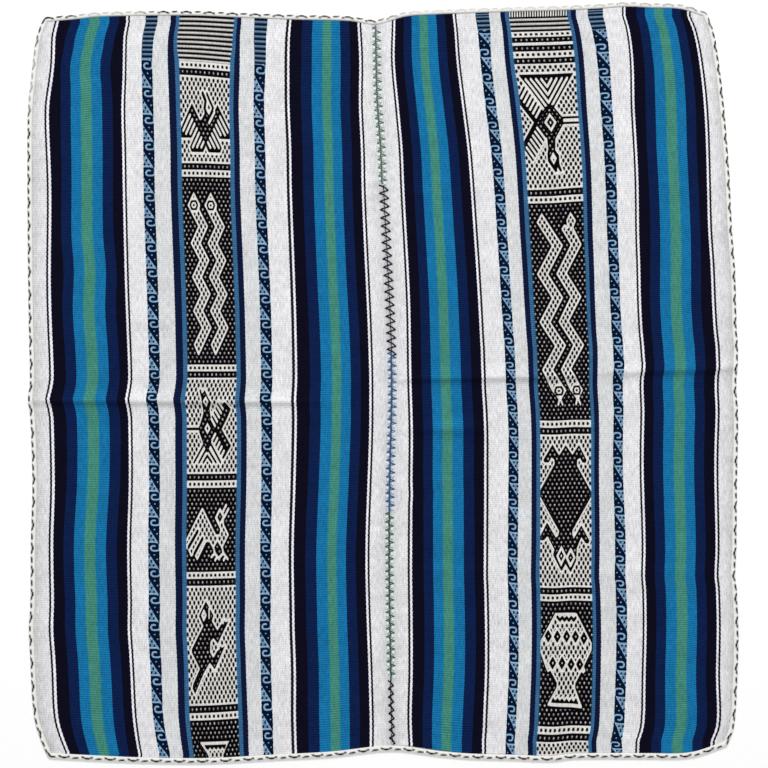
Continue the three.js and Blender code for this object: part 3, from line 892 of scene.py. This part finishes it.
def panel_material():
    """Warp-faced and complementary weave in plied wool: matt, ribbed across the cloth by its picks, with
    floats of the other yarn spotting the figured band, and yarn that is uneven in tone. Shade is painted
    in the grooves between the ribs and in soft clouds over the cloth."""
    material, shader = new_material("warp_faced_wool", 0.92)

    def add(kind, inputs, output=0, **settings):
        """One output of a new node."""
        return node(material, kind, inputs, **settings).outputs[output]

    face = add("Attribute", {}, attribute_name="face_yarn")
    back = add("Attribute", {}, attribute_name="back_yarn")
    figure = add("Attribute", {}, "Fac", attribute_name="figure")
    weave = node(material, "SeparateXYZ", {0: add("UVMap", {}, uv_map="weave")}).outputs
    place = add("TexCoord", {}, "Object")

    # Floats stand at counts whose sum is even on a light ground and odd on a dark one. A float is
    # an oval spot about its count, here larger on a light ground than on a dark one.
    across = add("Math", {0: weave[0], 1: 1.0}, operation="PINGPONG")
    along = add("Math", {0: weave[1], 1: 1.0}, operation="PINGPONG")
    dark = add("Math", {0: figure, 1: 0.0}, operation="LESS_THAN")
    shifted = add("Math", {0: along, 1: dark}, operation="SUBTRACT")
    along = add("Math", {0: shifted}, operation="ABSOLUTE")
    near = add("CombineXYZ", {0: across, 1: along})
    far = add("VectorMath", {0: (1, 1, 0), 1: near}, operation="SUBTRACT")
    sizes = add("Mix", {0: dark, 4: (1 / 0.58, 1 / 0.56, 0), 5: (1 / 0.34, 1 / 0.27, 0)}, 1,
                data_type="VECTOR")
    near = add("VectorMath", {0: near, 1: sizes}, operation="MULTIPLY")
    far = add("VectorMath", {0: far, 1: sizes}, operation="MULTIPLY")
    near = add("VectorMath", {0: near}, "Value", operation="LENGTH")
    far = add("VectorMath", {0: far}, "Value", operation="LENGTH")
    nearest = add("Math", {0: near, 1: far}, operation="MINIMUM")
    spot = add("MapRange", {0: nearest, 1: 0.75, 2: 1.2, 3: 1.0, 4: 0.0})

    # They keep clear of a figure's edge, and on a dark ground they show more or less in patches
    # about 3 mm wide.
    depth = add("Math", {0: figure}, operation="ABSOLUTE")
    clear = add("MapRange", {0: depth, 1: 0.52, 2: 0.62})
    spot = add("Math", {0: spot, 1: clear}, operation="MULTIPLY")
    patches = add("TexNoise", {"Vector": place, "Scale": 330.0, "Detail": 1.0})
    strength = add("MapRange", {0: patches, 1: 0.35, 2: 0.65, 3: 0.25, 4: 0.7})
    strength = add("Mix", {0: dark, 2: 1.0, 3: strength})
    spot = add("Math", {0: spot, 1: strength}, operation="MULTIPLY")
    top = add("MapRange", {0: figure, 1: -0.04, 2: 0.04})
    difference = add("Math", {0: top, 1: spot}, operation="SUBTRACT")
    shown = add("Math", {0: difference}, operation="ABSOLUTE")
    yarn = add("Mix", {0: shown, 6: back, 7: face}, 2, data_type="RGBA")

    # Tone: each pick's rib is lighter than the groove beside it, more so in dark yarns, which is painted
    # shade in the grooves. Yarns have streaks about 1 mm wide and 6 mm long, and the cloth has clouds
    # about 22 mm wide, which are painted shade of its gentle undulations.
    streak_place = add("VectorMath", {0: place, 1: (950, 160, 950)}, operation="MULTIPLY")
    streaks = add("TexNoise", {"Vector": streak_place, "Scale": 1.0, "Detail": 2.0, "Roughness": 0.6})
    turns = add("Math", {0: weave[1], 1: 4 * math.pi}, operation="MULTIPLY")
    uneven = add("Math", {0: streaks, 1: 2.5, 2: turns}, operation="MULTIPLY_ADD")
    rib = add("Math", {0: uneven}, operation="COSINE")
    tone = add("MapRange", {0: streaks, 1: 0.25, 2: 0.75, 3: 0.7, 4: 1.18})
    # Painted shade: soft clouds about 22 mm wide darken and lighten the colour for the cloth's gentle
    # undulations.
    clouds = add("TexNoise", {"Vector": place, "Scale": 45.0, "Detail": 3.0})
    cloud_shade_tone = add("MapRange", {0: clouds, 1: 0.3, 2: 0.7, 3: 0.92, 4: 1.06})
    tone = add("Math", {0: tone, 1: cloud_shade_tone}, operation="MULTIPLY")
    lightness = add("RGBToBW", {0: yarn})
    # Painted shade: the colour is darkened in the grooves between the picks' ribs, more in dark yarns.
    groove_shade_tone = add("MapRange", {0: lightness, 1: 0.2, 2: 0.7, 3: 0.26, 4: 0.04})
    tone = add("Math", {0: rib, 1: groove_shade_tone, 2: tone}, operation="MULTIPLY_ADD")
    height = add("Math", {0: streaks, 1: rib}, operation="ADD")
    finish_material(material, shader, yarn, tone, height, 0.3, 0.0002)
    return material


def thread_material(name, roughness):
    """Plied wool whose colour is each point's own yarn, uneven in tone along its fibres: matt, with
    a fine fuzzy grain about 1 mm wide."""
    material, shader = new_material(name, roughness)
    yarn = node(material, "Attribute", {}, attribute_name="yarn").outputs["Color"]
    place = node(material, "TexCoord", {}).outputs["Object"]
    fibres = node(material, "TexNoise", {"Vector": place, "Scale": 900.0, "Detail": 2.0}).outputs[0]
    tone = node(material, "MapRange", {0: fibres, 1: 0.3, 2: 0.7, 3: 0.86, 4: 1.04}).outputs[0]
    finish_material(material, shader, yarn, tone, fibres, 0.4, 0.0003)
    return material


OUTLINE_POINTS = 500


def closed_outline(step):
    """The cloth's outline, clockwise from its bottom left corner, as evenly spaced points, with the
    distance along it of each and its part: 0 to 1 up the left side, 1 to 2 along the top, 2 to 3
    down the right side and 3 to 4 back along the bottom."""
    y_left = np.linspace(LEFT_EDGE[0][0], LEFT_EDGE[-1][0], OUTLINE_POINTS)
    x_top = np.linspace(TOP_EDGE[0][0], TOP_EDGE[-1][0], OUTLINE_POINTS)
    y_right = np.linspace(RIGHT_EDGE[-1][0], RIGHT_EDGE[0][0], OUTLINE_POINTS)
    x_bottom = np.linspace(BOTTOM_EDGE[-1][0], BOTTOM_EDGE[0][0], OUTLINE_POINTS)
    sides = ((left_x(y_left), y_left), (x_top, smooth_curve(TOP_EDGE, x_top)),
             (right_x(y_right), y_right), (x_bottom, smooth_curve(BOTTOM_EDGE, x_bottom)))
    points = np.concatenate([np.stack(side, axis=1)[:-1] for side in sides])
    closed = np.concatenate([points, points[:1]])
    gone = np.concatenate([[0], np.cumsum(np.hypot(*np.diff(closed, axis=0).T))])
    count = int(gone[-1] / step)
    along = np.arange(count) * gone[-1] / count
    line = np.stack([np.interp(along, gone, closed[:, k]) for k in (0, 1)], axis=1)
    part = np.interp(along, gone, np.arange(len(closed)) / (OUTLINE_POINTS - 1))
    return line, along, part


# The band: the length in which its marks repeat, the tube's step and sides, and how many lengths of
# it lie side by side in its map for baked colours.
MARK_REPEAT = 23.0
BAND_STEP = 1.1
BAND_SIDES = 14
BAKED_LENGTHS = 16

# How strongly the marks show along the outline: (part, strength).
MARKS_SHOW = [(0, 1), (0.86, 1), (0.9, 0.5), (0.96, 0.6), (0.985, 1), (1.03, 1), (1.06, 0.35),
              (1.13, 0.4), (1.18, 1), (1.5, 0.9), (1.56, 0.2), (1.75, 0.25), (1.97, 0.5), (2.03, 1),
              (4, 1)]


def band_marks(along, outward, bulge):
    """The band's dark yarn, 0 to 1, from the distance along it and the share of its width counted
    outwards: a shallow V about 12 mm long, pointing inwards where bulge is 1 and outwards where it
    is -1, and a slanting dash half as long between it and the next."""
    place = np.abs((along + MARK_REPEAT / 2) % MARK_REPEAT - MARK_REPEAT / 2)
    vee = 0.24 - 0.015 * place - np.abs(outward - 0.62 - 0.06 * bulge * (place - 2.5))
    vee = np.where(place < 6, vee, -1)
    dash = 0.17 - np.abs(outward - (0.72 + 0.03 * (along % MARK_REPEAT - MARK_REPEAT / 2)))
    dash = np.where(place > 8.4, dash, -1)
    return smoothstep(np.maximum(vee, dash), -0.05, 0.05)


def edge_band():
    """The tubular band: an oval section carried round the outline on its outer side, flat where it
    rests, its surface swelling a little along the slant of its yarns."""
    line, along, part = closed_outline(BAND_STEP)
    soft = line.copy()
    for _ in range(3):
        soft = (np.roll(soft, 1, axis=0) + soft + np.roll(soft, -1, axis=0)) / 3
    ahead = np.roll(soft, -1, axis=0) - np.roll(soft, 1, axis=0)
    out = np.stack([-ahead[:, 1], ahead[:, 0]], axis=1)
    out /= np.hypot(*out.T)[:, None]
    angle = np.arange(BAND_SIDES) * 2 * math.pi / BAND_SIDES
    swell = 1 + 0.05 * np.sin(2 * math.pi * along[:, None] / 3.3 + 2 * angle[None, :])
    across = 0.5 * BAND_WIDTH * (1 + np.cos(angle)[None, :] * swell)
    up = 0.5 * BAND_HEIGHT * (1 + np.clip(1.25 * np.sin(angle), -1, 1)[None, :] * swell)
    x = line[:, [0]] + out[:, [0]] * across
    y = line[:, [1]] + out[:, [1]] * across
    z = np.maximum(up, 0) + lift(line[:, 0], line[:, 1])[:, None]
    vertices = np.stack([x, y, z], axis=2).reshape(-1, 3)
    count = len(line)
    i = np.arange(count)[:, None] * BAND_SIDES
    j = np.arange(BAND_SIDES)[None, :]
    following = (np.arange(count)[:, None] + 1) % count * BAND_SIDES
    quads = np.stack([i + j, following + j, following + (j + 1) % BAND_SIDES, i + (j + 1) % BAND_SIDES],
                     axis=2).reshape(-1, 4)
    piece = add_mesh("edge_band_tube", vertices, quads.tolist())

    # Baked colours lie in lengths side by side, each as long as the map is high.
    ring = np.arange(count)
    length_of = ring * BAKED_LENGTHS // count
    start = -(-length_of * count // BAKED_LENGTHS)
    step_v = BAKED_LENGTHS / (count + BAKED_LENGTHS)
    down = (ring - start) * step_v
    corner_v = np.stack([down, down + step_v, down + step_v, down], axis=1)
    share = np.stack([j[0], j[0], j[0] + 1, j[0] + 1], axis=1) / BAND_SIDES
    corner_u = (length_of[:, None, None] + 0.05 + 0.9 * share[None, :, :]) / BAKED_LENGTHS
    corner_v = np.broadcast_to(corner_v[:, None, :], corner_u.shape)
    bake_map(piece.data, np.stack([corner_u, corner_v], axis=3).reshape(-1, 2))

    strength = np.interp(part, *np.array(MARKS_SHOW).T)
    bulge = np.where(part % 2 < 1, 1, -1)
    dark = band_marks(along[:, None], across / BAND_WIDTH, bulge[:, None]) * strength[:, None]
    cream, mark = np.array(linear("#efeeea")), np.array(linear("#1b1a18"))
    point_yarns(piece, cream + (mark - cream) * dark.reshape(-1, 1))
    return piece


def tube(path, radius, sides):
    """A round thread along a path: rings square to it, closed at both ends, as points and faces."""
    path = np.array(path, float)
    ahead = np.gradient(path, axis=0)
    ahead /= np.linalg.norm(ahead, axis=1)[:, None]
    side = np.cross(ahead, [0, 0, 1])
    side /= np.linalg.norm(side, axis=1)[:, None]
    above = np.cross(side, ahead)
    angle = np.arange(sides) * 2 * math.pi / sides
    ring = (np.cos(angle)[None, :, None] * side[:, None, :]
            + np.sin(angle)[None, :, None] * above[:, None, :])
    points = (path[:, None, :] + radius * ring).reshape(-1, 3)
    i = np.arange(len(path) - 1)[:, None] * sides
    j = np.arange(sides)[None, :]
    quads = np.stack([i + j, i + (j + 1) % sides, i + sides + (j + 1) % sides, i + sides + j],
                     axis=2).reshape(-1, 4).tolist()
    last = (len(path) - 1) * sides
    return points, quads + [list(range(sides))[::-1], list(range(last, last + sides))]


# The join stitch down the seam: from, to, its kind, its yarn, how far its spine lies beside the
# seam and it reaches to the left and right of that, its thread's radius, and the paler yarn padding
# between its teeth.
JOIN = [
    (360, 355, "spine", "#b9b29a", 0, 0, 0, 0.6, ""),
    (355, 197, "feather", "#566f63", -0.3, 3.3, 5.2, 0.75, "#e6f4ec"),
    (197, 30, "zigzag", "#1f1b30", 1.2, 4.5, 4.6, 0.68, ""),
    (30, -130, "feather", "#375b80", 0.8, 3.8, 5.1, 0.85, "#d2e7fb"),
    (-130, -298, "feather", "#38594d", 0.8, 4.0, 4.5, 0.75, "#e2f2e9"),
    (-298, -361, "zigzag", "#121114", 0.3, 2.5, 2.5, 0.72, ""),
]
STITCH_PITCH = 8.2
SPINE_STEP = 1.4
WAD_RADIUS = 1.3

# One tooth of the feather stitch and the wad below it: (share of its reach, how far down).
UPPER_STRAND = [(0, -0.4), (0.38, 0.2), (0.7, 0.9), (1, 1.6)]
LOWER_STRAND = [(0, 2.1), (0.5, 1.9), (0.8, 1.6)]
WAD = [(0.5, 3.6), (0.6, 4.6), (0.55, 5.9)]


def stitch_path(points, radius):
    """A thread laid over the cloth through points beside the seam, sunk a little way into the
    cloth at its two ends and lying on it between them."""
    dx, y = np.array(points, float).T
    x = seam_x(y) + dx
    z = lift(x, y) + CLOTH_THICKNESS + 0.3 * radius
    z[[0, -1]] -= 0.6 * radius
    return np.stack([x, y, z], axis=1)


def join_stitches():
    """The stitches over the seam, one mesh: a spine crossed by an open zigzag, or with slanting
    teeth to either side in turn and paler wads between them, in lengths of different yarn."""
    points, faces, colours = [], [], []
    total = 0
    for top, bottom, kind, yarn, aside, left, right, radius, pad in JOIN:
        stitches = np.arange(top, bottom, -STITCH_PITCH)
        spine = [(aside + 0.3 * math.sin(y * 0.77), y) for y in np.arange(top, bottom, -SPINE_STEP)]
        runs = [((0.6 if kind == "zigzag" else 0.95) * radius, yarn, spine)]
        if kind == "zigzag":
            turns = ((-left, 0), (0.2, -1.7), (right, -5.2), (0.4, -6.3))
            corners = np.array([(aside + dx, y + dy) for y in stitches for dx, dy in turns])
            steps = np.arange(0, len(corners) - 1, 0.2)
            line = [np.interp(steps, np.arange(len(corners)), corners[:, k]) for k in (0, 1)]
            runs.append((radius, yarn, np.stack(line, axis=1)))
        if kind == "feather":
            strands = ((0.65 * radius, yarn, UPPER_STRAND), (0.5 * radius, yarn, LOWER_STRAND),
                       (WAD_RADIUS, pad, WAD))
            teeth = [tooth for y in stitches[:-1] for tooth in ((-left, y), (right, y - STITCH_PITCH / 2))]
            for reach, start in teeth:
                for thickness, tint, strand in strands:
                    run = [(aside + share * reach, start - down) for share, down in strand]
                    runs.append((thickness, tint, run))
        for thickness, tint, run in runs:
            new_points, new_faces = tube(stitch_path(run, thickness), thickness, 6)
            points.append(new_points)
            faces += [[total + k for k in face] for face in new_faces]
            colours.append(np.tile(linear(tint), (len(new_points), 1)))
            total += len(new_points)
    piece = add_mesh("join_stitches", np.concatenate(points), faces)
    point_yarns(piece, np.concatenate(colours))
    return piece


left_plan = panel_plan(LEFT_STRIPES, LEFT_WANDER, LEFT_SHIFTS, LEFT_BAND, LEFT_TIP, LEFT_DROP,
                       left_x, lambda y: seam_x(y) - SEAM_GAP / 2)
right_plan = panel_plan(RIGHT_STRIPES, RIGHT_WANDER, RIGHT_SHIFTS, RIGHT_BAND, RIGHT_TIP, RIGHT_DROP,
                        lambda y: seam_x(y) + SEAM_GAP / 2, right_x)
left_panel = panel_sheet("panel_left_cloth", left_plan, LEFT_STRIPES, LEFT_BAND, LEFT_CHARTS, True)
right_panel = panel_sheet("panel_right_cloth", right_plan, RIGHT_STRIPES, RIGHT_BAND, RIGHT_CHARTS,
                          False)
band = edge_band()
stitches = join_stitches()

wool = panel_material()
left_panel.data.materials.append(wool)
right_panel.data.materials.append(wool)
band.data.materials.append(thread_material("tubular_woven_wool", 0.9))
stitches.data.materials.append(thread_material("plied_sewing_wool", 0.85))

for piece, cad_node, slot in ((left_panel, "panel_left", "panel"),
                              (right_panel, "panel_right", "panel"),
                              (band, "edge_band", "edge_band")):
    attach(piece, "root")
    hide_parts(cad_node)

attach(stitches, "root")


def make_floor():
    """A plain pale tabletop, 12 m wide."""
    size = 6.0
    mesh = bpy.data.meshes.new("floor")
    mesh.from_pydata([(-size, -size, 0), (size, -size, 0), (size, size, 0), (-size, size, 0)],
                     [], [(0, 1, 2, 3)])
    floor = bpy.data.objects.new("floor", mesh)
    bpy.context.scene.collection.objects.link(floor)
    material, shader = new_material("white_tabletop", 0.8)
    shader.inputs["Base Color"].default_value = linear("#fdfdfd")
    mesh.materials.append(material)


def make_light(name, place, size, power):
    """A round soft light that looks at the middle of the cloth. Its place is in metres."""
    data = bpy.data.lights.new(name, "AREA")
    data.shape = "DISK"
    data.size = size
    data.energy = power
    light = bpy.data.objects.new(name, data)
    light.location = place
    x, y, z = place
    light.rotation_euler = (math.atan2(math.hypot(x, y), z), 0, math.atan2(-y, -x) - math.pi / 2)
    bpy.context.scene.collection.objects.link(light)


make_floor()
make_light("key", (0, 3.4, 3.4), 1.2, 138)
make_light("fill", (0, -1.5, 4.5), 4.0, 21)
world = bpy.data.worlds.new("studio")
world.use_nodes = True
world.node_tree.nodes["Background"].inputs["Color"].default_value = (1, 1, 1, 1)
world.node_tree.nodes["Background"].inputs["Strength"].default_value = 0.57
bpy.context.scene.world = world
bpy.context.scene.view_settings.view_transform = "Standard"

bpy.context.view_layer.update()
